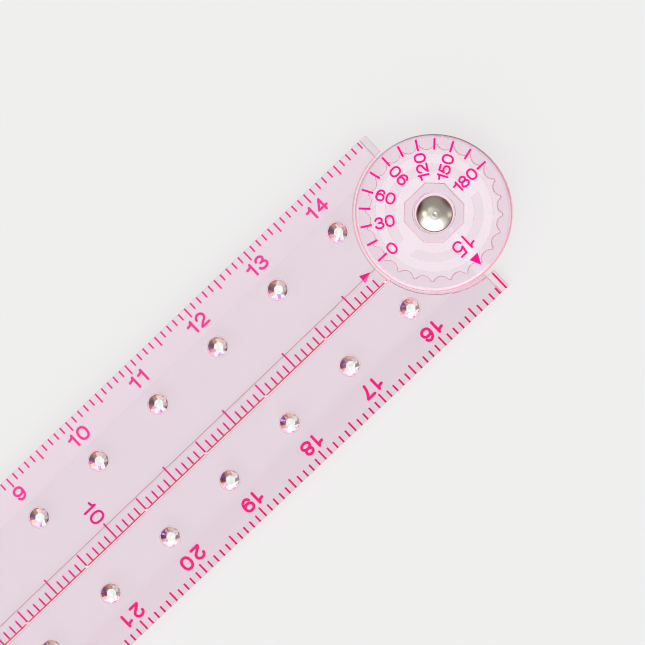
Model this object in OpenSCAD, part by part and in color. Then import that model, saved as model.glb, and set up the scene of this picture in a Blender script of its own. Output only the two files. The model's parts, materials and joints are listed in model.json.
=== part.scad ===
// Folding ruler: two clear half-lapped arms on a click hub, with a degree disc,
// a riveted pivot and a row of faceted stones on each arm.
// Millimetres. The underside lies at Z = 0, the arms run along X, and the arms
// are folded side by side. The pivot axis is vertical.

/* [Arms] */
// Length of each arm from the pivot to its far end
arm_length = 155; // [120:1:180]
// Width across both arms when they are folded side by side
folded_width = 25; // [22:0.5:32]
// Thickness of an arm at its flat middle
arm_thickness = 2.4; // [2.2:0.1:3]
// Thickness of an arm at its outer edge, below the bevel
edge_thickness = 1.7; // [1.5:0.1:2.2]
// Width of the bevel along each outer edge
bevel_width = 4; // [2:0.5:5]
// Height of the plane where the two arms lap over each other
lap_height = 1; // [0.8:0.05:1.2]
// Width of the band where the upper layer of one arm lies over the other
lap_width = 2; // [1:0.25:4]
// Gap kept between the two moving arms
running_gap = 0.2; // [0.15:0.05:0.4]
// Corner radius at the far end of each arm
end_radius = 1.5; // [0.5:0.25:3]

/* [Hub] */
// Diameter of the degree disc
disc_diameter = 18.9; // [16:0.1:21]
// Height of the top of the degree disc
hub_height = 3.5; // [3.2:0.1:4.5]
// Radius of the rounded top rim of the degree disc
rim_radius = 0.5; // [0.2:0.05:0.8]
// Diameter of the round relief that each arm leaves around the other arm's disc
relief_diameter = 19.7; // [19:0.1:22]
// Click positions in a full turn
click_count = 24; // [12:1:36]
// Radius at the tips of the ring's teeth
tooth_tip_radius = 7.65; // [6.5:0.05:8]
// Radius at the bottom of the notches between the teeth
notch_radius = 8.25; // [7:0.05:8.6]
// Radius of each rounded tooth
tooth_round = 1.05; // [0.6:0.05:1.2]
// Distance across the flats of the keyed post
post_flats = 6.6; // [5:0.1:8]
// Distance across the corner chamfers of the keyed post
post_chamfers = 7.1; // [5.5:0.1:8.5]

/* [Click plate] */
// Thickness of the click plate
plate_thickness = 1; // [0.6:0.05:1.2]
// Outer radius of the click plate
plate_radius = 7.1; // [6:0.05:7.4]
// Radius reached by the two click noses
nose_reach = 7.5; // [7.2:0.05:7.6]
// Inner radius of the two spring slots
slot_inner = 4.8; // [4.2:0.1:5.2]
// Outer radius of the two spring slots
slot_outer = 5.9; // [5.4:0.1:6.4]
// Lower edge of the two bridges between the slots, measured from the pivot
bridge_low = -1.75; // [-2.5:0.05:-1]
// Upper edge of the two bridges between the slots, measured from the pivot
bridge_high = 0.2; // [0:0.05:1.5]
// Clearance around the keyed post
key_clearance = 0.05; // [0.02:0.01:0.1]

/* [Rivet] */
// Radius of the domed rivet head
head_radius = 2.2; // [1.8:0.05:2.6]
// Height of the dome above its straight edge
dome_height = 0.85; // [0.5:0.05:1.2]
// Radius of the rivet's shank
shank_radius = 1.25; // [0.9:0.05:1.5]
// Radial clearance around the rivet's shank
shank_clearance = 0.06; // [0.02:0.01:0.1]
// Radius of the recess that the rivet head sits in
recess_radius = 2.53; // [2.3:0.01:2.9]
// Radius of the recess under the hub that holds the rolled tail
tail_recess_radius = 2.5; // [2.2:0.05:2.9]

/* [Stones] */
// Stones along each arm
stone_count = 14; // [14:1:14]
// Spacing of the stones along the arm
stone_pitch = 10; // [8:0.5:11]
// Distance from the joint line of the arms to the row of stones
stone_offset = 6.3; // [4:0.1:7]
// Diameter of a stone at its girdle
stone_diameter = 2.4; // [1.8:0.1:3]
// Height of a stone above its seat
stone_height = 1.1; // [0.7:0.05:1.4]
// Diameter of the flat table on a stone
stone_table = 1.15; // [0.6:0.05:1.6]
// Depth of the round seat that holds a stone
seat_depth = 0.2; // [0.1:0.05:0.4]

/* [Hidden] */
$fn = 96;
half_width = folded_width / 2;
disc_radius = disc_diameter / 2;
relief_radius = relief_diameter / 2;
pivot_x = (arm_length - disc_radius) / 2;
low_top = lap_height - running_gap / 2;
high_bottom = lap_height + running_gap / 2;
plate_bottom = low_top + 0.05;
plate_top = plate_bottom + plate_thickness;
post_top = plate_top + 0.15;
roof = post_top + 0.15;
recess_floor = hub_height - 0.4;
head_bottom = recess_floor + 0.06;
head_edge = head_bottom + 0.15;
dome_sphere = (head_radius * head_radius + dome_height * dome_height) / (2 * dome_height);
tail_recess_depth = 0.7;
tail_round = 0.28;
lap_end = 0.36;
low_end = 0.6;
own_end = 0.4;
high_end = 0.75;
clear_pink = [0.95, 0.72, 0.82, 0.55];
steel = [0.78, 0.77, 0.74];
gem = [0.86, 0.80, 0.88];

// Octagonal outline of the keyed post, grown by a clearance all round
module octagon(grow) {
    intersection() {
        square(post_flats + 2 * grow, center = true);
        rotate(45) square(post_chamfers + 2 * grow, center = true);
    }
}

// Outline of one arm seen from above, with a rounded outer corner at its far end
module arm_outline(near_x, low_y) {
    difference() {
        translate([-arm_length, low_y]) square([arm_length + near_x, half_width - low_y]);
        translate([-arm_length, half_width]) corner_cut(-90);
    }
}

// What is cut away to round the corner of a rectangle
module corner_cut(turn) {
    rotate(turn) difference() {
        translate([-0.1, -0.1]) square(end_radius + 0.1);
        translate([end_radius, end_radius]) circle(end_radius);
    }
}

// Cross-section of an arm, full thickness with its bevel, first axis across the arm
module bevel_section(low_y) {
    polygon([
        [low_y, 0],
        [half_width, 0],
        [half_width, edge_thickness],
        [half_width - bevel_width, arm_thickness],
        [low_y, arm_thickness]
    ]);
}

// Bar along -X with the bevel section, from its far end to near_x
module bar(near_x, low_y) {
    intersection() {
        translate([-arm_length - 1, 0, 0]) rotate([90, 0, 90]) linear_extrude(arm_length + 1 + near_x) bevel_section(low_y);
        translate([0, 0, -1]) linear_extrude(arm_thickness + 2) arm_outline(near_x, low_y);
    }
}

// Box that spans both layers' width, used to pick one layer
module slab(z0, z1) {
    translate([-arm_length - 5, -half_width - 5, z0]) cube([arm_length + 30, folded_width + 10, z1 - z0]);
}

// Round seats for a row of stones
module seats() {
    for (i = [1 : stone_count])
        translate([-i * stone_pitch, stone_offset, arm_thickness - seat_depth])
            cylinder(r = stone_diameter / 2 + 0.12, h = seat_depth + 1, $fn = 48);
}

// First arm in pivot coordinates: bar, lower disc and keyed post
module arm_a_solid() {
    difference() {
        union() {
            // upper layer, over the other arm's band and its end tongue
            difference() {
                bar(lap_end, -lap_width);
                slab(-1, high_bottom);
                translate([0, 0, -1]) cylinder(r = relief_radius, h = 10, $fn = 160);
            }
            // lower layer and the full thickness above it
            difference() {
                bar(-low_end, running_gap / 2);
                translate([0, 0, low_top]) cylinder(r = relief_radius, h = 10, $fn = 160);
            }
            cylinder(r = disc_radius - 0.05, h = low_top, $fn = 160);
            linear_extrude(post_top) octagon(0);
        }
        seats();
        translate([0, 0, -1]) cylinder(r = shank_radius + shank_clearance, h = 10, $fn = 64);
        translate([0, 0, -1]) cylinder(r = tail_recess_radius, h = 1 + tail_recess_depth, $fn = 64);
    }
}

// Second arm in pivot coordinates, drawn on the +Y side: bar, degree disc and tooth ring
module arm_b_solid() {
    difference() {
        union() {
            // lower layer, under the other arm's band, with the end tongue
            difference() {
                bar(own_end, running_gap / 2);
                slab(low_top, 10);
                translate([0, 0, -1]) cylinder(r = relief_radius, h = 10, $fn = 160);
            }
            // full thickness beside the band
            difference() {
                bar(-high_end, lap_width + running_gap);
                translate([0, 0, -1]) cylinder(r = relief_radius, h = 1 + high_bottom, $fn = 160);
            }
            disc_blank();
        }
        tooth_cavity();
        seats();
        translate([0, 0, -1]) cylinder(r = shank_radius + shank_clearance, h = 10, $fn = 64);
        translate([0, 0, recess_floor]) cylinder(r = recess_radius, h = 2, $fn = 64);
    }
}

// Degree disc with its rounded top rim
module disc_blank() {
    rotate_extrude($fn = 160) {
        translate([0, high_bottom]) square([disc_radius, hub_height - high_bottom - rim_radius]);
        translate([0, high_bottom]) square([disc_radius - rim_radius, hub_height - high_bottom]);
        intersection() {
            translate([disc_radius - rim_radius, hub_height - rim_radius]) circle(rim_radius, $fn = 48);
            translate([0, high_bottom]) square([disc_radius + 1, hub_height]);
        }
    }
}

// Hollow under the degree disc, with rounded teeth pointing inwards
module tooth_cavity() {
    translate([0, 0, high_bottom - 1]) linear_extrude(roof - high_bottom + 1) difference() {
        circle(notch_radius, $fn = 160);
        for (i = [0 : click_count - 1])
            rotate((i + 0.5) * 360 / click_count)
                translate([tooth_tip_radius + tooth_round, 0]) circle(tooth_round, $fn = 48);
    }
}

// Two curved spring slots, with straight ends, on either side of the bridges
module spring_slots() {
    difference() {
        circle(slot_outer, $fn = 120);
        circle(slot_inner, $fn = 120);
        translate([-10, bridge_low]) square([20, bridge_high - bridge_low]);
    }
}

// First arm: graduated bar with the lower disc and the keyed post
module arm_a() {
    color(clear_pink) translate([pivot_x, 0, 0]) arm_a_solid();
}

// Second arm: graduated bar with the degree disc and the tooth ring
module arm_b() {
    color(clear_pink) translate([pivot_x, 0, 0]) mirror([0, 1, 0]) arm_b_solid();
}

// Click plate: spring ring keyed on the post, with two noses facing the teeth
module click_plate() {
    color(clear_pink) translate([pivot_x, 0, plate_bottom]) linear_extrude(plate_thickness) difference() {
        union() {
            circle(plate_radius, $fn = 120);
            for (s = [-1, 1]) translate([0, s * (nose_reach - 0.9)]) circle(0.9, $fn = 48);
        }
        octagon(key_clearance);
        spring_slots();
    }
}

// Rivet: domed head, plain shank and a rolled tail in the recess under the hub
module rivet() {
    color(steel) translate([pivot_x, 0, 0]) difference() {
        union() {
            translate([0, 0, 0.1]) cylinder(r = shank_radius, h = head_bottom + 0.05, $fn = 64);
            translate([0, 0, head_bottom]) cylinder(r = head_radius, h = head_edge - head_bottom, $fn = 96);
            intersection() {
                translate([0, 0, head_edge + dome_height - dome_sphere]) sphere(dome_sphere, $fn = 128);
                translate([0, 0, head_edge - 0.02]) cylinder(r = head_radius, h = dome_height + 1, $fn = 96);
            }
            rotate_extrude($fn = 64) translate([shank_radius + 0.12, tail_recess_depth - tail_round - 0.02]) circle(tail_round, $fn = 32);
        }
        translate([0, 0, -1]) cylinder(r = 0.75, h = 2.2, $fn = 48);
        translate([0, 0, head_edge + dome_height - 0.1]) cylinder(r1 = 0.1, r2 = 0.22, h = 0.2, $fn = 32);
    }
}

// One stone: straight girdle, sloping crown and a flat table
module stone(i, side) {
    girdle = 0.3;
    color(gem) translate([pivot_x - i * stone_pitch, side * stone_offset, arm_thickness - seat_depth]) {
        cylinder(r = stone_diameter / 2, h = girdle, $fn = 48);
        translate([0, 0, girdle]) cylinder(r1 = stone_diameter / 2, r2 = stone_table / 2, h = stone_height - girdle, $fn = 48);
    }
}

// Stone 1 on the first arm, counted from the hub
module stone_a_01() { stone(1, 1); }
// Stone 2 on the first arm, counted from the hub
module stone_a_02() { stone(2, 1); }
// Stone 3 on the first arm, counted from the hub
module stone_a_03() { stone(3, 1); }
// Stone 4 on the first arm, counted from the hub
module stone_a_04() { stone(4, 1); }
// Stone 5 on the first arm, counted from the hub
module stone_a_05() { stone(5, 1); }
// Stone 6 on the first arm, counted from the hub
module stone_a_06() { stone(6, 1); }
// Stone 7 on the first arm, counted from the hub
module stone_a_07() { stone(7, 1); }
// Stone 8 on the first arm, counted from the hub
module stone_a_08() { stone(8, 1); }
// Stone 9 on the first arm, counted from the hub
module stone_a_09() { stone(9, 1); }
// Stone 10 on the first arm, counted from the hub
module stone_a_10() { stone(10, 1); }
// Stone 11 on the first arm, counted from the hub
module stone_a_11() { stone(11, 1); }
// Stone 12 on the first arm, counted from the hub
module stone_a_12() { stone(12, 1); }
// Stone 13 on the first arm, counted from the hub
module stone_a_13() { stone(13, 1); }
// Stone 14 on the first arm, counted from the hub
module stone_a_14() { stone(14, 1); }
// Stone 1 on the second arm, counted from the hub
module stone_b_01() { stone(1, -1); }
// Stone 2 on the second arm, counted from the hub
module stone_b_02() { stone(2, -1); }
// Stone 3 on the second arm, counted from the hub
module stone_b_03() { stone(3, -1); }
// Stone 4 on the second arm, counted from the hub
module stone_b_04() { stone(4, -1); }
// Stone 5 on the second arm, counted from the hub
module stone_b_05() { stone(5, -1); }
// Stone 6 on the second arm, counted from the hub
module stone_b_06() { stone(6, -1); }
// Stone 7 on the second arm, counted from the hub
module stone_b_07() { stone(7, -1); }
// Stone 8 on the second arm, counted from the hub
module stone_b_08() { stone(8, -1); }
// Stone 9 on the second arm, counted from the hub
module stone_b_09() { stone(9, -1); }
// Stone 10 on the second arm, counted from the hub
module stone_b_10() { stone(10, -1); }
// Stone 11 on the second arm, counted from the hub
module stone_b_11() { stone(11, -1); }
// Stone 12 on the second arm, counted from the hub
module stone_b_12() { stone(12, -1); }
// Stone 13 on the second arm, counted from the hub
module stone_b_13() { stone(13, -1); }
// Stone 14 on the second arm, counted from the hub
module stone_b_14() { stone(14, -1); }

arm_a();
arm_b();
click_plate();
rivet();
stone_a_01();
stone_a_02();
stone_a_03();
stone_a_04();
stone_a_05();
stone_a_06();
stone_a_07();
stone_a_08();
stone_a_09();
stone_a_10();
stone_a_11();
stone_a_12();
stone_a_13();
stone_a_14();
stone_b_01();
stone_b_02();
stone_b_03();
stone_b_04();
stone_b_05();
stone_b_06();
stone_b_07();
stone_b_08();
stone_b_09();
stone_b_10();
stone_b_11();
stone_b_12();
stone_b_13();
stone_b_14();
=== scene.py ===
import json
import math
import random

import bmesh
import bpy
from mathutils import Matrix, Vector
from mathutils.geometry import delaunay_2d_cdt

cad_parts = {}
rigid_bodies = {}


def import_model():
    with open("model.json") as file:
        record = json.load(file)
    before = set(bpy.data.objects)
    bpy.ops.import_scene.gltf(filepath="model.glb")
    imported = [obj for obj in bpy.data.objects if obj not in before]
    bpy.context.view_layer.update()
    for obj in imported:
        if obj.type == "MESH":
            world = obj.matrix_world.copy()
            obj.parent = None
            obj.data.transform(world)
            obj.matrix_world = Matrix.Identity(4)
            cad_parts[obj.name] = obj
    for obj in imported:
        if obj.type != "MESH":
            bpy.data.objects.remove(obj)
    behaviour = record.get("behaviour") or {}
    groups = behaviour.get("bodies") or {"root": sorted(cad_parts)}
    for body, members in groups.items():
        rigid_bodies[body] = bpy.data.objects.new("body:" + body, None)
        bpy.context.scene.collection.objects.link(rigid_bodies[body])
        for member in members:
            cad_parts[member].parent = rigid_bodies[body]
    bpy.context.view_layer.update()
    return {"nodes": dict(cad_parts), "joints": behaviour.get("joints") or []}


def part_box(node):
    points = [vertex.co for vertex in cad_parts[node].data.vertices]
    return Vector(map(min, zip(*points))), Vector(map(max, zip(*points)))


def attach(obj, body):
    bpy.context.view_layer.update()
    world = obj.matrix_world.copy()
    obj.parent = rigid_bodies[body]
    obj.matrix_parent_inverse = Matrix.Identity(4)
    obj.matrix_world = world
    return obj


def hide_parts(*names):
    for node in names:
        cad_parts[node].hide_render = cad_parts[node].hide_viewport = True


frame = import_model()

MM = 0.001
rng = random.Random(7)

# Key sizes, in millimetres from the pivot axis, read from the frame.
lo_a, hi_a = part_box("arm_a")
lo_b, hi_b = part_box("arm_b")
joint = frame["joints"][0]
PX = joint["pos_m"][0] / MM
HALF = hi_a.y / MM
THICK = hi_a.z / MM
HUB_TOP = hi_b.z / MM
FAR = lo_a.x / MM - PX
BODY_A = joint["parent"]
BODY_B = joint["child"]
LAP_HI = 1.1


def P(x, y, z):
    """A point given in millimetres from the pivot axis."""
    return Vector(((x + PX) * MM, y * MM, z * MM))


# ---------------------------------------------------------------- materials

def new_mat(name):
    m = bpy.data.materials.new(name)
    m.use_nodes = True
    nt = m.node_tree
    for n in list(nt.nodes):
        nt.nodes.remove(n)
    out = nt.nodes.new("ShaderNodeOutputMaterial")
    bsdf = nt.nodes.new("ShaderNodeBsdfPrincipled")
    nt.links.new(bsdf.outputs["BSDF"], out.inputs["Surface"])
    return m, nt, bsdf, out


def node(nt, kind, **kw):
    n = nt.nodes.new(kind)
    for k, v in kw.items():
        setattr(n, k, v)
    return n


def object_coords(nt):
    return node(nt, "ShaderNodeTexCoord").outputs["Object"]


def acrylic(name, clear=1.0, painted_glow=(0.0, 0.0, 0.0), rim=0.09, edge=(0.82, 0.19, 0.33, 1), lo=0.88, hi=0.25, through=0.4,
            sheen=(0.8, 0.22, 0.5, 1), level=0.5, coat=0.0, dark=None, painted_glints=False, density=90.0, tint=(0.71, 0.12, 0.48, 1)):
    """Dyed clear acrylic. clear is what one face lets through, glow a faint painted light added as emission, rim the
    strength of a painted pink glow on upright faces, dark the side on which edges get a painted dark reflection.
    """
    m, nt, b, out = new_mat(name)
    b.inputs["IOR"].default_value = 1.49
    b.inputs["Specular Tint"].default_value = sheen
    b.inputs["Specular IOR Level"].default_value = level
    b.inputs["Coat Weight"].default_value = coat
    b.inputs["Coat IOR"].default_value = 1.55
    # faces that stand upright are tinted pink, as the edges of dyed acrylic look, and get a painted pink glow
    # (emission) and let less through
    sep = node(nt, "ShaderNodeSeparateXYZ")
    facing = node(nt, "ShaderNodeTexCoord").outputs["Normal"]
    nt.links.new(facing, sep.inputs[0])
    up = node(nt, "ShaderNodeMath", operation="ABSOLUTE")
    nt.links.new(sep.outputs["Z"], up.inputs[0])
    wall = node(nt, "ShaderNodeMapRange", interpolation_type="SMOOTHSTEP")
    wall.inputs["From Min"].default_value = lo
    wall.inputs["From Max"].default_value = hi
    nt.links.new(up.outputs[0], wall.inputs["Value"])
    hue = node(nt, "ShaderNodeMix", data_type="RGBA")
    hue.inputs[6].default_value = (clear, clear, clear, 1)
    hue.inputs[7].default_value = edge
    nt.links.new(wall.outputs["Result"], hue.inputs[0])
    nt.links.new(hue.outputs[2], b.inputs["Base Color"])
    thru = node(nt, "ShaderNodeMapRange")
    thru.inputs["To Min"].default_value = 1.0
    thru.inputs["To Max"].default_value = through
    nt.links.new(wall.outputs["Result"], thru.inputs["Value"])
    nt.links.new(thru.outputs["Result"], b.inputs["Transmission Weight"])
    # painted light: a faint emission on every face, stronger and pinker on upright faces
    own = node(nt, "ShaderNodeMix", data_type="RGBA")
    own.inputs[6].default_value = (*painted_glow, 1)
    own.inputs[7].default_value = (painted_glow[0] + rim, painted_glow[1] + rim * 0.13, painted_glow[2] + rim * 0.3, 1)
    nt.links.new(wall.outputs["Result"], own.inputs[0])
    nt.links.new(own.outputs[2], b.inputs["Emission Color"])
    b.inputs["Emission Strength"].default_value = 1.0
    co = object_coords(nt)
    side = None
    if dark:
        # painted dark reflection: edges that face one way are coloured near black and lose their painted glow
        dot = node(nt, "ShaderNodeVectorMath", operation="DOT_PRODUCT")
        nt.links.new(facing, dot.inputs[0])
        dot.inputs[1].default_value = (math.cos(math.radians(dark)), math.sin(math.radians(dark)), 0.0)
        side = node(nt, "ShaderNodeMapRange", interpolation_type="SMOOTHSTEP")
        side.inputs["From Min"].default_value = 0.35
        side.inputs["From Max"].default_value = 0.9
        nt.links.new(dot.outputs["Value"], side.inputs["Value"])
        for mixer, shade in ((hue, (0.06, 0.02, 0.03, 1)), (own, (0.0, 0.0, 0.0, 1))):
            m2 = node(nt, "ShaderNodeMix", data_type="RGBA")
            m2.inputs[6].default_value = mixer.inputs[7].default_value
            m2.inputs[7].default_value = shade
            nt.links.new(side.outputs["Result"], m2.inputs[0])
            nt.links.new(m2.outputs[2], mixer.inputs[7])
    if painted_glints:
        # small painted glints along the edge, one beside each stone: spots of white glow mixed into the edge's emission
        sx = node(nt, "ShaderNodeSeparateXYZ")
        nt.links.new(co, sx.inputs[0])
        away = node(nt, "ShaderNodeMath", operation="ADD")
        away.inputs[1].default_value = (4.97 - PX) * MM
        nt.links.new(sx.outputs["X"], away.inputs[0])
        step = node(nt, "ShaderNodeMath", operation="FLOORED_MODULO")
        step.inputs[1].default_value = 10 * MM
        nt.links.new(away.outputs[0], step.inputs[0])
        off = node(nt, "ShaderNodeMath", operation="SUBTRACT")
        off.inputs[1].default_value = 5 * MM
        nt.links.new(step.outputs[0], off.inputs[0])
        far = node(nt, "ShaderNodeMath", operation="ABSOLUTE")
        nt.links.new(off.outputs[0], far.inputs[0])
        spot = node(nt, "ShaderNodeMapRange", interpolation_type="SMOOTHSTEP")
        spot.inputs["From Min"].default_value = 0.22 * MM
        spot.inputs["From Max"].default_value = 0.08 * MM
        nt.links.new(far.outputs[0], spot.inputs["Value"])
        m2 = node(nt, "ShaderNodeMix", data_type="RGBA")
        m2.inputs[6].default_value = own.inputs[7].default_value
        m2.inputs[7].default_value = (0.9, 0.86, 0.88, 1)
        nt.links.new(spot.outputs["Result"], m2.inputs[0])
        nt.links.new(m2.outputs[2], own.inputs[7])
    n1 = node(nt, "ShaderNodeTexNoise")
    n1.inputs["Scale"].default_value = 90
    n1.inputs["Detail"].default_value = 4
    nt.links.new(co, n1.inputs["Vector"])
    mr = node(nt, "ShaderNodeMapRange")
    mr.inputs["From Min"].default_value = 0.35
    mr.inputs["From Max"].default_value = 0.75
    mr.inputs["To Min"].default_value = 0.004
    mr.inputs["To Max"].default_value = 0.05
    nt.links.new(n1.outputs["Fac"], mr.inputs["Value"])
    nt.links.new(mr.outputs["Result"], b.inputs["Roughness"])
    vol = node(nt, "ShaderNodeVolumeAbsorption")
    vol.inputs["Color"].default_value = tint
    vol.inputs["Density"].default_value = density
    nt.links.new(vol.outputs["Volume"], out.inputs["Volume"])
    return m


def ink(name, color, painted_glow):
    m, nt, b, out = new_mat(name)
    b.inputs["Roughness"].default_value = 0.35
    b.inputs["Specular IOR Level"].default_value = 0.08
    co = object_coords(nt)
    n1 = node(nt, "ShaderNodeTexNoise")
    n1.inputs["Scale"].default_value = 1400
    n1.inputs["Detail"].default_value = 3
    nt.links.new(co, n1.inputs["Vector"])
    mix = node(nt, "ShaderNodeMix", data_type="RGBA")
    mix.inputs[6].default_value = (color[0], color[1], color[2], 1)
    mix.inputs[7].default_value = (color[0] * 0.93, color[1] * 0.8, color[2] * 0.86, 1)
    nt.links.new(n1.outputs["Fac"], mix.inputs[0])
    nt.links.new(mix.outputs[2], b.inputs["Base Color"])
    # painted glow: the ink also shines its own colour as emission
    b.inputs["Emission Color"].default_value = (color[0], color[1], color[2], 1)
    b.inputs["Emission Strength"].default_value = painted_glow
    return m


PINK = acrylic("clear_pink_acrylic", clear=0.985)
# painted light: the first arm's sloping outer strip is a lit copy of the acrylic, brighter through a faint emission
PINK_OUTER_A_PAINTED_LIGHT = acrylic("clear_pink_bevel_first_painted_light", painted_glow=(0.022, 0.030, 0.030))
# painted shade: the second arm's sloping outer strip is a darker copy of the acrylic, letting less through
PINK_OUTER_B_PAINTED_SHADE = acrylic("clear_pink_bevel_second_painted_shade", clear=0.96)
# painted light: the hub zone is a lit copy of the acrylic, brighter through a faint emission
PINK_HUB = acrylic("clear_pink_hub", painted_glow=(0.022, 0.032, 0.028))
# painted light on the disc's rim and octagon: a faint emission, a painted pink glow on upright faces and a painted dark
# reflection on edges facing 38 degrees
PINK_RIM = acrylic("clear_pink_rim", painted_glow=(0.02, 0.03, 0.03), sheen=(1, 1, 1, 1), coat=1.0, dark=38.0, rim=0.08, lo=0.95, hi=0.55, through=0.25)
# the lap's upper edge: a deep red tint, partly the dye seen edge-on and partly a painted reflection of the print, with
# a painted glow and painted glints
PINK_LAP = acrylic("clear_pink_lap_edge", clear=0.985, rim=0.06, edge=(0.82, 0.03, 0.13, 1), lo=0.999, hi=0.85, through=0.1, level=0.0, painted_glints=True)
# the second arm's inner edge: a pink tint and a weak painted glow on upright faces
PINK_SOFT = acrylic("clear_pink_inner_edge", clear=0.985, rim=0.03, edge=(0.66, 0.12, 0.26, 1), lo=0.97, hi=0.6, through=0.3, level=0.2)
# painted light: the click plate glows faintly through emission
PINK_PLATE = acrylic("clear_pink_plate", painted_glow=(0.04, 0.056, 0.046))
INK_A = ink("magenta_ink_first", (0.86, 0.0, 0.29), 0.2)
INK_B = ink("magenta_ink_second", (0.86, 0.0, 0.21), 0.27)
INK_LAP = ink("magenta_ink_lap", (0.72, 0.0, 0.235), 0.2)
INK_PALE = ink("magenta_ink_pale", (0.86, 0.08, 0.4), 0.25)
INK_TOP = ink("magenta_ink_top", (0.86, 0.002, 0.26), 0.05)

steel, nt, b, out = new_mat("polished_nickel")
b.inputs["Metallic"].default_value = 1.0
co = object_coords(nt)
n1 = node(nt, "ShaderNodeTexNoise")
n1.inputs["Scale"].default_value = 700
n1.inputs["Detail"].default_value = 5
nt.links.new(co, n1.inputs["Vector"])
mix = node(nt, "ShaderNodeMix", data_type="RGBA")
mix.inputs[6].default_value = (0.60, 0.58, 0.55, 1)
mix.inputs[7].default_value = (0.48, 0.45, 0.41, 1)
nt.links.new(n1.outputs["Fac"], mix.inputs[0])
nt.links.new(mix.outputs[2], b.inputs["Base Color"])
mr = node(nt, "ShaderNodeMapRange")
mr.inputs["From Min"].default_value = 0.3
mr.inputs["From Max"].default_value = 0.8
mr.inputs["To Min"].default_value = 0.2
mr.inputs["To Max"].default_value = 0.33
nt.links.new(n1.outputs["Fac"], mr.inputs["Value"])
nt.links.new(mr.outputs["Result"], b.inputs["Roughness"])

gem, nt, b, out = new_mat("aurora_crystal_and_painted_facet_light")
at = node(nt, "ShaderNodeVertexColor", layer_name="facet")
co = object_coords(nt)
n1 = node(nt, "ShaderNodeTexNoise")
n1.inputs["Scale"].default_value = 2600
n1.inputs["Detail"].default_value = 2
nt.links.new(co, n1.inputs["Vector"])
mr = node(nt, "ShaderNodeMapRange")
mr.inputs["From Min"].default_value = 0.3
mr.inputs["From Max"].default_value = 0.7
mr.inputs["To Min"].default_value = 0.86
mr.inputs["To Max"].default_value = 1.1
nt.links.new(n1.outputs["Fac"], mr.inputs["Value"])
vm = node(nt, "ShaderNodeVectorMath", operation="SCALE")
nt.links.new(at.outputs["Color"], vm.inputs[0])
nt.links.new(mr.outputs["Result"], vm.inputs["Scale"])
nt.links.new(vm.outputs["Vector"], b.inputs["Base Color"])
# painted glow: the facet colours, with their painted highlights and shade, also shine as emission
nt.links.new(vm.outputs["Vector"], b.inputs["Emission Color"])
b.inputs["Emission Strength"].default_value = 0.28
b.inputs["Metallic"].default_value = 0.85
b.inputs["Roughness"].default_value = 0.09
b.inputs["Coat Weight"].default_value = 1.0
b.inputs["Coat Roughness"].default_value = 0.01
b.inputs["Coat IOR"].default_value = 1.55

def add_piece(name, bm, mats, body, smooth=False):
    me = bpy.data.meshes.new(name)
    bm.to_mesh(me)
    bm.free()
    for m_ in mats:
        me.materials.append(m_)
    for p_ in me.polygons:
        p_.use_smooth = smooth
    ob = bpy.data.objects.new(name, me)
    bpy.context.scene.collection.objects.link(ob)
    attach(ob, body)
    return ob


# ---------------------------------------------------------------- clear parts

def softened(node_name, name, mats, body, width=0.075, pick=None, first=None):
    """The node's own shape with its sharp edges rounded by a hair, as moulding leaves them."""
    bm = bmesh.new()
    bm.from_mesh(frame["nodes"][node_name].data)
    bmesh.ops.remove_doubles(bm, verts=bm.verts, dist=2e-7)
    bmesh.ops.dissolve_limit(bm, angle_limit=math.radians(0.4), use_dissolve_boundaries=False, verts=bm.verts, edges=bm.edges, delimit=set())
    if first:
        edges = [e for e in bm.edges if e.is_manifold and first(*(v.co for v in e.verts))]
        bmesh.ops.bevel(bm, geom=edges, offset=0.2 * MM, offset_type="OFFSET", segments=4, profile=0.5, affect="EDGES", clamp_overlap=False, loop_slide=False)
    sharp = [e for e in bm.edges if e.is_manifold and e.calc_face_angle() > math.radians(50)]
    bmesh.ops.bevel(bm, geom=sharp, offset=width * MM, offset_type="OFFSET", segments=3, profile=0.5, affect="EDGES", clamp_overlap=False, loop_slide=False)
    for e in bm.edges:
        if len(e.link_faces) == 2:
            fa, fb = e.link_faces
            if min(abs(fa.normal.z), abs(fb.normal.z)) > 0.95 and fa.normal.angle(fb.normal) > math.radians(3):
                e.smooth = False
            elif fa.normal.angle(fb.normal) > math.radians(38):
                e.smooth = False
    for f in bm.faces:
        f.smooth = True
        f.material_index = pick(f) if pick else 0
    me = bpy.data.meshes.new(name)
    bm.to_mesh(me)
    bm.free()
    for m_ in mats:
        me.materials.append(m_)
    ob = bpy.data.objects.new(name, me)
    bpy.context.scene.collection.objects.link(ob)
    wn = ob.modifiers.new("even_normals", "WEIGHTED_NORMAL")
    wn.keep_sharp = True
    wn.weight = 100
    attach(ob, body)
    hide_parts(node_name)
    return ob


def zone(f):
    """0 on an arm, 1 on the sloping outer strip, 2 around the hub, 3 on the upper edge of the lap, 4 on the disc's rim and the octagon."""
    c = f.calc_center_median()
    if abs(f.normal.z) < 0.97 and -2.4 * MM < c.y < -1.75 * MM and c.z > 1.0 * MM and c.x < P(-9.9, 0, 0).x:
        return 3
    r = (c - P(0, 0, c.z / MM)).length / MM
    if r < 9.86:
        return 4 if abs(f.normal.z) < 0.995 and ((r > 8.9 and c.z > 2.4 * MM) or (2.9 < r < 3.8 and abs(f.normal.z) < 0.97)) else 2
    return int(abs(c.y) > 8.4 * MM and 0.9 < f.normal.z < 0.995)


def lap_top(p, q):
    """The long upper edge of the first arm's lap."""
    return all(abs(v.y + 2.0 * MM) < 0.02 * MM and abs(v.z - THICK * MM) < 0.02 * MM for v in (p, q))


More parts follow.
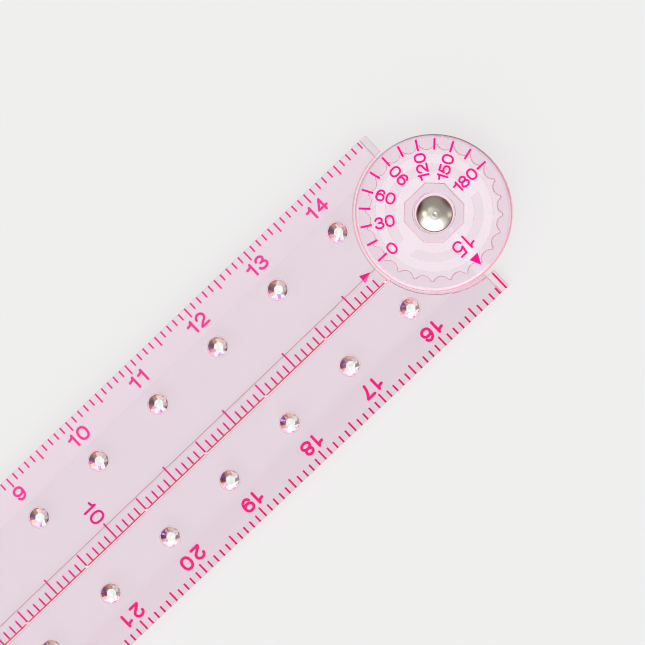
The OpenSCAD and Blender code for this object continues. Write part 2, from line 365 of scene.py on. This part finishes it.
softened("arm_a", "first_arm_clear", [PINK, PINK_OUTER_A_PAINTED_LIGHT, PINK_HUB, PINK_LAP, PINK_RIM], BODY_A, pick=zone, first=lap_top)
softened("arm_b", "second_arm_clear", [PINK, PINK_OUTER_B_PAINTED_SHADE, PINK_HUB, PINK_SOFT, PINK_RIM], BODY_B, pick=zone)
softened("click_plate", "click_plate_clear", [PINK_PLATE], BODY_A, width=0.06)

# ---------------------------------------------------------------- rivet

def dome_z(r):
    """Height of the domed head at radius r, before the mark left by the tool."""
    base, rise, rad = 3.31, 0.85, 2.2
    ball = (rad * rad + rise * rise) / (2 * rise)
    return base + rise - ball + math.sqrt(max(ball * ball - r * r, 0.0))


bm = bmesh.new()
SEG = 144
prof = []
for k in range(1, 57):
    prof.append((2.14 * k / 56, None))
prof += [(2.165, 3.325), (2.185, 3.305), (2.196, 3.28), (2.2, 3.25), (2.2, 3.2), (2.19, 3.175), (2.165, 3.162), (2.1, 3.16),
         (1.6, 3.16), (1.29, 3.16), (1.25, 3.12), (1.25, 0.72)]
for k in range(0, 19):
    a = math.radians(100 - 15.5 * k)
    prof.append((1.37 + 0.275 * math.cos(a), 0.40 + 0.275 * math.sin(a)))
prof += [(1.2, 0.128), (1.0, 0.15), (0.84, 0.21), (0.77, 0.30), (0.75, 0.42), (0.75, 1.12), (0.6, 1.2), (0.3, 1.24)]
MARK = (0.07, -0.10)
rings = []
for r, z in prof:
    ring = []
    for s in range(SEG):
        a = 2 * math.pi * s / SEG
        x, y = r * math.cos(a), r * math.sin(a)
        if z is None or z > 3.1:
            y -= 0.17  # the head was set slightly off the shank
        zz = z
        if zz is None:
            d = math.hypot(x - MARK[0], y + 0.17 - MARK[1])
            zz = dome_z(r) - 0.075 * math.exp(-(d / 0.17) ** 2) - 0.02 / (1 + math.exp((d - 0.62) / 0.05)) \
                + 0.004 * math.exp(-((d - 0.72) / 0.06) ** 2) + 0.0012 * math.sin(3 * a + 0.7) * min(r / 1.2, 1.0)
        ring.append(bm.verts.new(P(x, y, zz)))
    rings.append(ring)
top = bm.verts.new(P(0, -0.17, dome_z(0) - 0.075 * math.exp(-(math.hypot(*MARK) / 0.17) ** 2) - 0.02))
end = bm.verts.new(P(0, 0, 1.25))
for s in range(SEG):
    s2 = (s + 1) % SEG
    bm.faces.new((top, rings[0][s], rings[0][s2]))
    for ra, rb in zip(rings, rings[1:]):
        bm.faces.new((ra[s], rb[s], rb[s2], ra[s2]))
    bm.faces.new((rings[-1][s], end, rings[-1][s2]))
bmesh.ops.recalc_face_normals(bm, faces=bm.faces)
rivet = add_piece("rivet_polished", bm, [steel], BODY_A, smooth=True)
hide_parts("rivet")

# ---------------------------------------------------------------- stones

def lin(c):
    return tuple(((v / 255) / 12.92 if v / 255 < 0.04045 else ((v / 255 + 0.055) / 1.055) ** 2.4) for v in c)


# Colours around the stone by the direction a facet faces, clockwise from +X+Y: partly the stone's coloured coating,
# partly painted reflections, highlights and shade, such as the white facets and the dark ones.
WHEEL_A = [(0, (232, 205, 190)), (30, (236, 212, 206)), (60, (232, 208, 214)), (85, (186, 178, 172)), (112, (128, 112, 116)), (136, (255, 255, 255)), (160, (170, 130, 176)),
           (182, (226, 198, 232)), (210, (255, 226, 226)), (232, (250, 190, 184)), (252, (190, 96, 140)), (268, (104, 62, 112)), (284, (82, 44, 54)), (308, (120, 78, 72)), (336, (170, 130, 112))]
RIM_A = [(0, (238, 210, 205)), (45, (236, 200, 205)), (80, (190, 150, 160)), (105, (130, 50, 80)), (136, (255, 250, 255)), (165, (196, 130, 196)), (200, (242, 160, 200)), (232, (240, 130, 150)),
         (255, (205, 50, 100)), (278, (112, 44, 70)), (300, (130, 60, 60)), (322, (222, 24, 74)), (342, (214, 60, 96))]
WHEEL_B = [(0, (222, 198, 184)), (30, (234, 216, 208)), (60, (240, 230, 230)), (88, (134, 128, 122)), (110, (255, 255, 255)), (150, (255, 250, 255)),
           (182, (246, 240, 255)), (212, (255, 226, 240)), (238, (232, 176, 176)), (256, (178, 112, 112)), (272, (160, 96, 132)), (286, (176, 120, 196)), (304, (172, 134, 200)), (330, (196, 162, 150))]
RIM_B = [(0, (224, 184, 172)), (40, (236, 214, 216)), (75, (206, 190, 192)), (95, (160, 142, 138)), (125, (255, 240, 250)), (150, (226, 70, 150)), (175, (250, 190, 225)), (200, (240, 140, 196)), (235, (232, 150, 168)),
         (258, (180, 84, 96)), (285, (156, 84, 130)), (310, (160, 112, 160)), (335, (196, 140, 134))]


def wheel(table, clock):
    clock %= 360
    best = None
    pts = table + [(table[0][0] + 360, table[0][1])]
    for (a0, c0), (a1, c1) in zip(pts, pts[1:]):
        if a0 <= clock <= a1:
            f = (clock - a0) / (a1 - a0)
            f = 0.0 if f < 0.35 else 1.0 if f > 0.65 else (f - 0.35) / 0.3
            best = tuple(u * (1 - f) + v * f for u, v in zip(c0, c1))
    return best


def crystal(name, cx, cy, wheel_c, rim_c, body, replaced):
    turn = rng.uniform(-7, 7)
    bm = bmesh.new()
    col = bm.loops.layers.float_color.new("facet")
    RT, RG, RI = 0.585, 1.195, 1.02
    ztab, zmid, zg, zb = 3.3, 2.74, 2.52, 2.205

    def ring(n, r, z, off):
        return [bm.verts.new(P(cx + r * math.cos(math.radians(off + turn + 360 * k / n)), cy + r * math.sin(math.radians(off + turn + 360 * k / n)), z)) for k in range(n)]

    T = ring(8, RT, ztab, 22.5)
    for v in T:
        v.co += Vector((0.15 * MM, -0.11 * MM, 0))
    M = ring(8, RI, zmid, 22.5)
    G = ring(16, RG, zg, 0)
    B = ring(16, RG - 0.02, zb, 0)

    def face(vs, c, jitter=0.12):
        f = bm.faces.new(vs)
        k = 1 + rng.uniform(-jitter, jitter)
        q = lin(c)
        q = tuple(min(v * k, 1.0) for v in q)
        for lp in f.loops:
            lp[col] = (q[0], q[1], q[2], 1)
        return f

    def clock_of(vs):
        mx = sum(v.co.x for v in vs) / len(vs) / MM - PX - cx
        my = sum(v.co.y for v in vs) / len(vs) / MM - cy
        return 46.3 - math.degrees(math.atan2(my, mx))

    # the table's pale grey is a painted reflection
    face(T, (220, 227, 224), 0.0)
    for k in range(8):
        k2 = (k + 1) % 8
        # the crown facet between two corners of the table runs to the girdle point between them
        g = G[(2 * k + 2) % 16]
        vs = [T[k], M[k], g, M[k2], T[k2]]
        face([T[k], M[k], g], wheel(wheel_c, clock_of([T[k], M[k], g])))
        face([T[k], g, T[k2]], wheel(wheel_c, clock_of([T[k], g, T[k2]])))
        face([T[k2], g, M[k2]], wheel(wheel_c, clock_of([T[k2], g, M[k2]])))
        ga, gb, gc = G[(2 * k) % 16], G[(2 * k + 1) % 16], G[(2 * k + 2) % 16]
        face([M[k], ga, gb], wheel(rim_c, clock_of([M[k], ga, gb])))
        face([M[k], gb, gc], wheel(rim_c, clock_of([M[k], gb, gc])))
    for k in range(16):
        k2 = (k + 1) % 16
        face([G[k2], G[k], B[k], B[k2]], (225, 170, 200))
    face(list(reversed(B)), (200, 196, 200), 0.0)
    bmesh.ops.recalc_face_normals(bm, faces=bm.faces)
    ob = add_piece(name, bm, [gem], body)
    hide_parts(replaced)
    return ob


for i in range(1, 15):
    crystal(f"crystal_a_{i:02d}", -10 * i, 6.3, WHEEL_A, RIM_A, BODY_A, f"stone_a_{i:02d}")
    crystal(f"crystal_b_{i:02d}", -10 * i, -6.3, WHEEL_B, RIM_B, BODY_B, f"stone_b_{i:02d}")

# ---------------------------------------------------------------- printing

def arc(cx, cy, rx, ry, a0, a1, n=14, e=2.0):
    pts = []
    for k in range(n + 1):
        a = math.radians(a0 + (a1 - a0) * k / n)
        c, s = math.cos(a), math.sin(a)
        pts.append((cx + rx * math.copysign(abs(c) ** (2 / e), c), cy + ry * math.copysign(abs(s) ** (2 / e), s)))
    return pts


def spline(pts, n=5):
    """Catmull-Rom curve through the points."""
    out = []
    q = [pts[0]] + list(pts) + [pts[-1]]
    for i in range(1, len(q) - 2):
        p0, p1, p2, p3 = q[i - 1], q[i], q[i + 1], q[i + 2]
        for k in range(n):
            t = k / n
            out.append(tuple(
                0.5 * (2 * p1[d] + (p2[d] - p0[d]) * t + (2 * p0[d] - 5 * p1[d] + 4 * p2[d] - p3[d]) * t * t
                       + (3 * p1[d] - p0[d] - 3 * p2[d] + p3[d]) * t ** 3) for d in (0, 1)))
    out.append(pts[-1])
    return out


SIX = [arc(0.385, 0.315, 0.365, 0.315, 0, 360, 26, 2.1),
       spline([(0.02, 0.33), (0.03, 0.60), (0.13, 0.86), (0.39, 1.0), (0.60, 0.94), (0.71, 0.79)])]
GLYPHS = {
    "0": (0.77, [arc(0.385, 0.5, 0.385, 0.5, 0, 360, 30, 2.35)]),
    "1": (0.42, [[(0.42, 0.0), (0.42, 1.0)], spline([(0.0, 0.76), (0.22, 0.79), (0.35, 0.86), (0.42, 0.97)], 4)]),
    "2": (0.76, [arc(0.375, 0.685, 0.355, 0.315, 178, 0, 16) + spline([(0.73, 0.685), (0.66, 0.50), (0.38, 0.31), (0.14, 0.14), (0.03, 0.0)], 5)[1:]
                 + [(0.76, 0.0)]]),
    "3": (0.76, [arc(0.37, 0.755, 0.32, 0.245, 172, -90, 18), arc(0.37, 0.255, 0.38, 0.255, 90, -172, 20), [(0.30, 0.51), (0.40, 0.51)]]),
    "4": (0.80, [[(0.56, 0.0), (0.56, 1.0), (0.0, 0.29), (0.80, 0.29)]]),
    "5": (0.74, [[(0.69, 1.0), (0.17, 1.0), (0.08, 0.50)] + spline([(0.08, 0.50), (0.37, 0.635), (0.66, 0.53), (0.735, 0.32), (0.65, 0.10), (0.36, 0.0), (0.10, 0.07), (0.0, 0.24)], 5)[1:]]),
    "6": (0.75, SIX),
    "7": (0.73, [[(0.0, 1.0), (0.73, 1.0)] + spline([(0.73, 1.0), (0.52, 0.70), (0.36, 0.36), (0.29, 0.0)], 5)[1:]]),
    "8": (0.76, [arc(0.38, 0.755, 0.305, 0.245, 0, 360, 24), arc(0.38, 0.262, 0.38, 0.262, 0, 360, 26)]),
    "9": (0.75, [[(0.75 - x, 1.0 - y) for x, y in s] for s in SIX]),
}
_cache = {}


def union(polys):
    """Flat union of simple counter-clockwise polygons: points and triangles."""
    pts, faces = [], []
    for p in polys:
        faces.append(list(range(len(pts), len(pts) + len(p))))
        pts += [Vector(q) for q in p]
    v, e, f, _, _, src = delaunay_2d_cdt(pts, [], faces, 1, 1e-6)
    return [tuple(q) for q in v], [tuple(t) for t, s in zip(f, src) if s]


def stroke_polys(path, w):
    polys = []
    r = w / 2
    for (x0, y0), (x1, y1) in zip(path, path[1:]):
        dx, dy = x1 - x0, y1 - y0
        L = math.hypot(dx, dy)
        if L < 1e-6:
            continue
        nx, ny = -dy / L * r, dx / L * r
        polys.append([(x0 - nx, y0 - ny), (x1 - nx, y1 - ny), (x1 + nx, y1 + ny), (x0 + nx, y0 + ny)])
    for x, y in path:
        polys.append([(x + r * math.cos(a), y + r * math.sin(a)) for a in (math.pi / 8 * k + 0.03 for k in range(16))])
    return polys


def glyph(ch, h, w, wide=1.0):
    """Flat digit, h high overall, stroke w, its lower left at the origin."""
    key = (ch, round(h, 3), round(w, 3), wide)
    if key not in _cache:
        wid, strokes = GLYPHS[ch]
        H = h - w
        polys = []
        for s in strokes:
            polys += stroke_polys([(x * H * wide + w / 2, y * H + w / 2) for x, y in s], w)
        _cache[key] = (wid * H * wide + w,) + union(polys)
    return _cache[key]


class Print:
    """Collects flat ink shapes and turns them into one thin solid layer."""

    def __init__(self):
        self.items = []

    def shape(self, pts, tris, z0, z1, place):
        self.items.append(([place(*p) for p in pts], tris, z0, z1))

    def line(self, x0, y0, x1, y1, w, z0, z1, rnd=0.5):
        dx, dy = x1 - x0, y1 - y0
        L = math.hypot(dx, dy)
        dx, dy = dx / L, dy / L
        r = w / 2
        pts = []
        for sx, ang in ((1, -90), (0, 90)):
            cx = x0 + dx * (L - r * rnd * 2 * 0.5) if sx else x0 + dx * r * rnd
            cy = y0 + dy * (L - r * rnd * 2 * 0.5) if sx else y0 + dy * r * rnd
            for k in range(7):
                a = math.radians(ang + 30 * k)
                c, s = math.cos(a), math.sin(a)
                px = c * r * rnd
                py = s * r
                pts.append((cx + dx * px - dy * py, cy + dy * px + dx * py))
        tris = [(0, k, k + 1) for k in range(1, len(pts) - 1)]
        self.shape(pts, tris, z0, z1, lambda x, y: (x, y))

    def text(self, s, cx, cy, h, w, turn, z0, z1, gap=0.22, wide=1.0):
        parts = [glyph(c, h, w, wide) for c in s]
        gaps = [gap * h] * (len(s) - 1)
        total = sum(p[0] for p in parts) + sum(gaps)
        x = -total / 2
        ct, st = math.cos(math.radians(turn)), math.sin(math.radians(turn))
        for k, (wid, pts, tris) in enumerate(parts):
            ox = x
            self.shape(pts, tris, z0, z1, lambda a, b_, ox=ox: (cx + ct * (a + ox) - st * (b_ - h / 2), cy + st * (a + ox) + ct * (b_ - h / 2)))
            x += wid + (gaps[k] if k < len(gaps) else 0)

    def build(self, name, mat, body):
        bm = bmesh.new()
        for pts, tris, z0, z1 in self.items:
            bottom = [bm.verts.new(P(x, y, z0)) for x, y in pts]
            top = [bm.verts.new(P(x, y, z1)) for x, y in pts]
            count = {}
            for t in tris:
                t = list(t)
                area = sum(pts[t[i]][0] * pts[t[(i + 1) % len(t)]][1] - pts[t[(i + 1) % len(t)]][0] * pts[t[i]][1] for i in range(len(t)))
                if area < 0:
                    t.reverse()
                bm.faces.new([top[i] for i in t])
                bm.faces.new([bottom[i] for i in reversed(t)])
                for i in range(len(t)):
                    e = (t[i], t[(i + 1) % len(t)])
                    count[e] = count.get(e, 0) + 1
            for (i, j) in count:
                if (j, i) not in count:
                    bm.faces.new([bottom[i], bottom[j], top[j], top[i]])
        loose = [v for v in bm.verts if not v.link_faces]
        bmesh.ops.delete(bm, geom=loose, context="VERTS")
        me = bpy.data.meshes.new(name)
        bm.to_mesh(me)
        bm.free()
        me.materials.append(mat)
        ob = bpy.data.objects.new(name, me)
        bpy.context.scene.collection.objects.link(ob)
        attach(ob, body)
        return ob


Z0, Z1 = -0.014, -0.004        # ink on an arm's underside
M0, M1 = LAP_HI - 0.014, LAP_HI - 0.004   # ink under the upper layer of the lap
D0, D1 = HUB_TOP + 0.003, HUB_TOP + 0.015  # ink on the degree disc

# first arm: 0 at x = -150, reading towards the hub
pa = Print()
for k in range(0, 150):
    x = -150 + k
    long = k % 5 == 0
    pa.line(x, HALF - 0.02, x, HALF - (1.47 if long else 1.02), 0.22, Z0, Z1)
for n in range(1, 15):
    pa.text(str(n), -150 + 10 * n, 10.03, 1.83, 0.32, 0, Z0, Z1)
pa.build("print_first_scale", INK_A, BODY_A)

# lap scale: 0 at the arm's far end
pc = Print()
for k in range(1, 145):
    x = FAR + k + 0.015
    if k % 10 == 0:
        pc.line(x, -1.83, x, 0.05, 0.215, M0, M1)
        pc.line(x - 0.1, 0.13, x - 0.1, 0.50, 0.215, Z0, Z1)
    elif k % 5 == 0:
        pc.line(x, -1.83, x, -0.06, 0.215, M0, M1)
    else:
        pc.line(x, -1.83, x, -0.71, 0.215, M0, M1)
for n, x in ((5, FAR + 50), (10, FAR + 100)):
    pc.text(str(n), x - 0.09, 2.25 if n == 10 else 1.66, 1.93, 0.30, -90, Z0, Z1, gap=0.2, wide=0.93)
# pointer beside the degree disc
ph = Print()
ph.shape([(-11.9, 0.13), (-10.62, 0.13), (-10.62, 0.22), (-11.9, 0.80)], [(0, 1, 2), (0, 2, 3)], Z0, Z1, lambda x, y: (x, y))
ph.build("print_pointer_upper", INK_B, BODY_A)
pc.build("print_lap_scale", INK_LAP, BODY_A)
pe = Print()
pe.shape([(-11.9, -0.42), (-10.75, 0.06), (-11.9, 0.06)], [(0, 1, 2)], M0, M1, lambda x, y: (x, y))
pe.build("print_pointer_lower", INK_PALE, BODY_A)

# second arm: 15 at the pivot, 30 near its far end, upside down while folded
pb = Print()
for k in range(0, 151):
    x = -k
    if k == 0:
        pb.line(0, -HALF + 0.02, 0, -9.98, 0.26, Z0, Z1)
        continue
    long = k % 5 == 0
    pb.line(x, -HALF + 0.02, x, -HALF + (1.55 if long else 1.12), 0.245, Z0, Z1)
for n in range(16, 31):
    pb.text(str(n), -10 * (n - 15) - 0.05, -9.87, 1.86, 0.365, 180, Z0, Z1)
pb.build("print_second_scale", INK_B, BODY_B)

# degree disc
pd = Print()
DX, DY, DROT = 0.0, 0.27, -0.75
for k in range(0, 13):
    a = math.radians(180 - 15 * k + DROT)
    c, s = math.cos(a), math.sin(a)
    pd.line(DX + 7.35 * c, DY + 7.35 * s, DX + 8.8 * c, DY + 8.8 * s, 0.27, D0, D1)
for deg in (0, 30, 60, 90, 120, 150, 180):
    a = 180 - deg + DROT
    turn = a - 180 if deg < 90 else a
    s = str(deg)
    R = {1: 6.52, 2: 5.82, 3: 5.45}[len(s)]
    pd.text(s, DX + R * math.cos(math.radians(a)), DY + R * math.sin(math.radians(a)), 1.48, 0.255, turn, D0, D1, gap=0.06)
pd.text("15", -0.03, -5.30, 2.0, 0.26, 180, D0, D1, gap=0.2, wide=0.87)
pd.shape([(-0.77, -7.07), (-0.12, -8.47), (0.58, -7.07)], [(0, 1, 2)], D0, D1, lambda x, y: (x, y))
pd.build("print_disc", INK_TOP, BODY_B)

# ---------------------------------------------------------------- stage, light, camera
scene = bpy.context.scene
bm = bmesh.new()
bmesh.ops.create_grid(bm, x_segments=1, y_segments=1, size=2.0)
me = bpy.data.meshes.new("floor")
bm.to_mesh(me)
bm.free()
floor = bpy.data.objects.new("floor", me)
floor.location = (0, 0, -0.00012)
scene.collection.objects.link(floor)
fm, nt, b, out = new_mat("paper_white")
b.inputs["Base Color"].default_value = (0.14, 0.14, 0.1405, 1)
b.inputs["Emission Color"].default_value = (1.0, 1.0, 1.0, 1)
b.inputs["Emission Strength"].default_value = 0.70
b.inputs["Roughness"].default_value = 1.0
b.inputs["Specular IOR Level"].default_value = 0.0
floor.data.materials.append(fm)

world = bpy.data.worlds.new("studio")
scene.world = world
world.use_nodes = True
nt = world.node_tree
bg = nt.nodes["Background"]
direction = node(nt, "ShaderNodeTexCoord").outputs["Generated"]


def toward(azimuth, polar):
    a, p = math.radians(azimuth), math.radians(polar)
    return (math.sin(p) * math.cos(a), math.sin(p) * math.sin(a), math.cos(p))


def lobe(azimuth, polar, inner, outer):
    """1 within inner degrees of the direction, falling to 0 at outer degrees."""
    d = node(nt, "ShaderNodeVectorMath", operation="DOT_PRODUCT")
    nt.links.new(direction, d.inputs[0])
    d.inputs[1].default_value = toward(azimuth, polar)
    r = node(nt, "ShaderNodeMapRange", interpolation_type="SMOOTHSTEP")
    r.inputs["From Min"].default_value = math.cos(math.radians(outer))
    r.inputs["From Max"].default_value = math.cos(math.radians(inner))
    nt.links.new(d.outputs["Value"], r.inputs["Value"])
    return r.outputs["Result"]


sky = None
for azimuth, polar, inner, outer, colour in (
    (0, 0, 180, 181, (0.62, 0.585, 0.54)),
    (-150, 56, 34, 50, (2.2, 2.25, 2.3)),
    (-100, 48, 14, 34, (0.8, 0.8, 0.8)),
    (137, 45, 6, 13, (2.6, 2.4, 2.0)),
    (-47, 65, 4, 10, (2.4, 2.2, 1.6)),
    (95, 14, 12, 26, (0.46, 0.48, 0.51)),
    (97, 24, 7, 13, (1.1, 1.1, 1.1)),
    (0, 86, 14, 36, (-0.42, -0.41, -0.38)),
    (118, 84, 12, 32, (-0.46, -0.47, -0.46)),
):
    if inner >= 180:
        # the room is dark near the horizon
        part = node(nt, "ShaderNodeSeparateXYZ")
        nt.links.new(direction, part.inputs[0])
        ramp = node(nt, "ShaderNodeMapRange", interpolation_type="SMOOTHSTEP")
        ramp.inputs["From Min"].default_value = 0.02
        ramp.inputs["From Max"].default_value = 0.30
        ramp.inputs["To Min"].default_value = 0.2
        ramp.inputs["To Max"].default_value = 1.0
        nt.links.new(part.outputs["Z"], ramp.inputs["Value"])
        s = node(nt, "ShaderNodeVectorMath", operation="SCALE")
        s.inputs[0].default_value = colour
        nt.links.new(ramp.outputs["Result"], s.inputs["Scale"])
        sky = s.outputs["Vector"]
        continue
    s = node(nt, "ShaderNodeVectorMath", operation="SCALE")
    s.inputs[0].default_value = colour
    nt.links.new(lobe(azimuth, polar, inner, outer), s.inputs["Scale"])
    add = node(nt, "ShaderNodeVectorMath", operation="ADD")
    nt.links.new(sky, add.inputs[0])
    nt.links.new(s.outputs["Vector"], add.inputs[1])
    sky = add.outputs["Vector"]
nt.links.new(sky, bg.inputs["Color"])
bg.inputs["Strength"].default_value = 0.85

scene.view_settings.view_transform = "Standard"
scene.view_settings.look = "None"
scene.cycles.max_bounces = 28
scene.cycles.transmission_bounces = 24
scene.cycles.diffuse_bounces = 3
scene.cycles.glossy_bounces = 6
scene.cycles.transparent_max_bounces = 16
scene.cycles.volume_bounces = 0
scene.cycles.blur_glossy = 0.0
scene.cycles.filter_width = 1.05

cam_data = bpy.data.cameras.new("camera")
cam = bpy.data.objects.new("camera", cam_data)
scene.collection.objects.link(cam)
scene.camera = cam
D, AZ, TILT, ROLL = 600.0, math.radians(-27.6), math.radians(5.38), math.radians(-43.62)
zax = Vector((math.sin(TILT) * math.cos(AZ), math.sin(TILT) * math.sin(AZ), math.cos(TILT)))
up = Vector((-math.sin(ROLL), math.cos(ROLL), 0))
xax = up.cross(zax).normalized()
yax = zax.cross(xax)
pos = P(-18.95, -0.21, 0.7) + zax * D * MM
m = Matrix((xax, yax, zax)).transposed().to_4x4()
m.translation = pos
cam.matrix_world = m
cam_data.sensor_width = 36.0
cam_data.lens = 4978.2 * 36.0 / 645.0
cam_data.clip_start = 0.01
cam_data.clip_end = 10.0
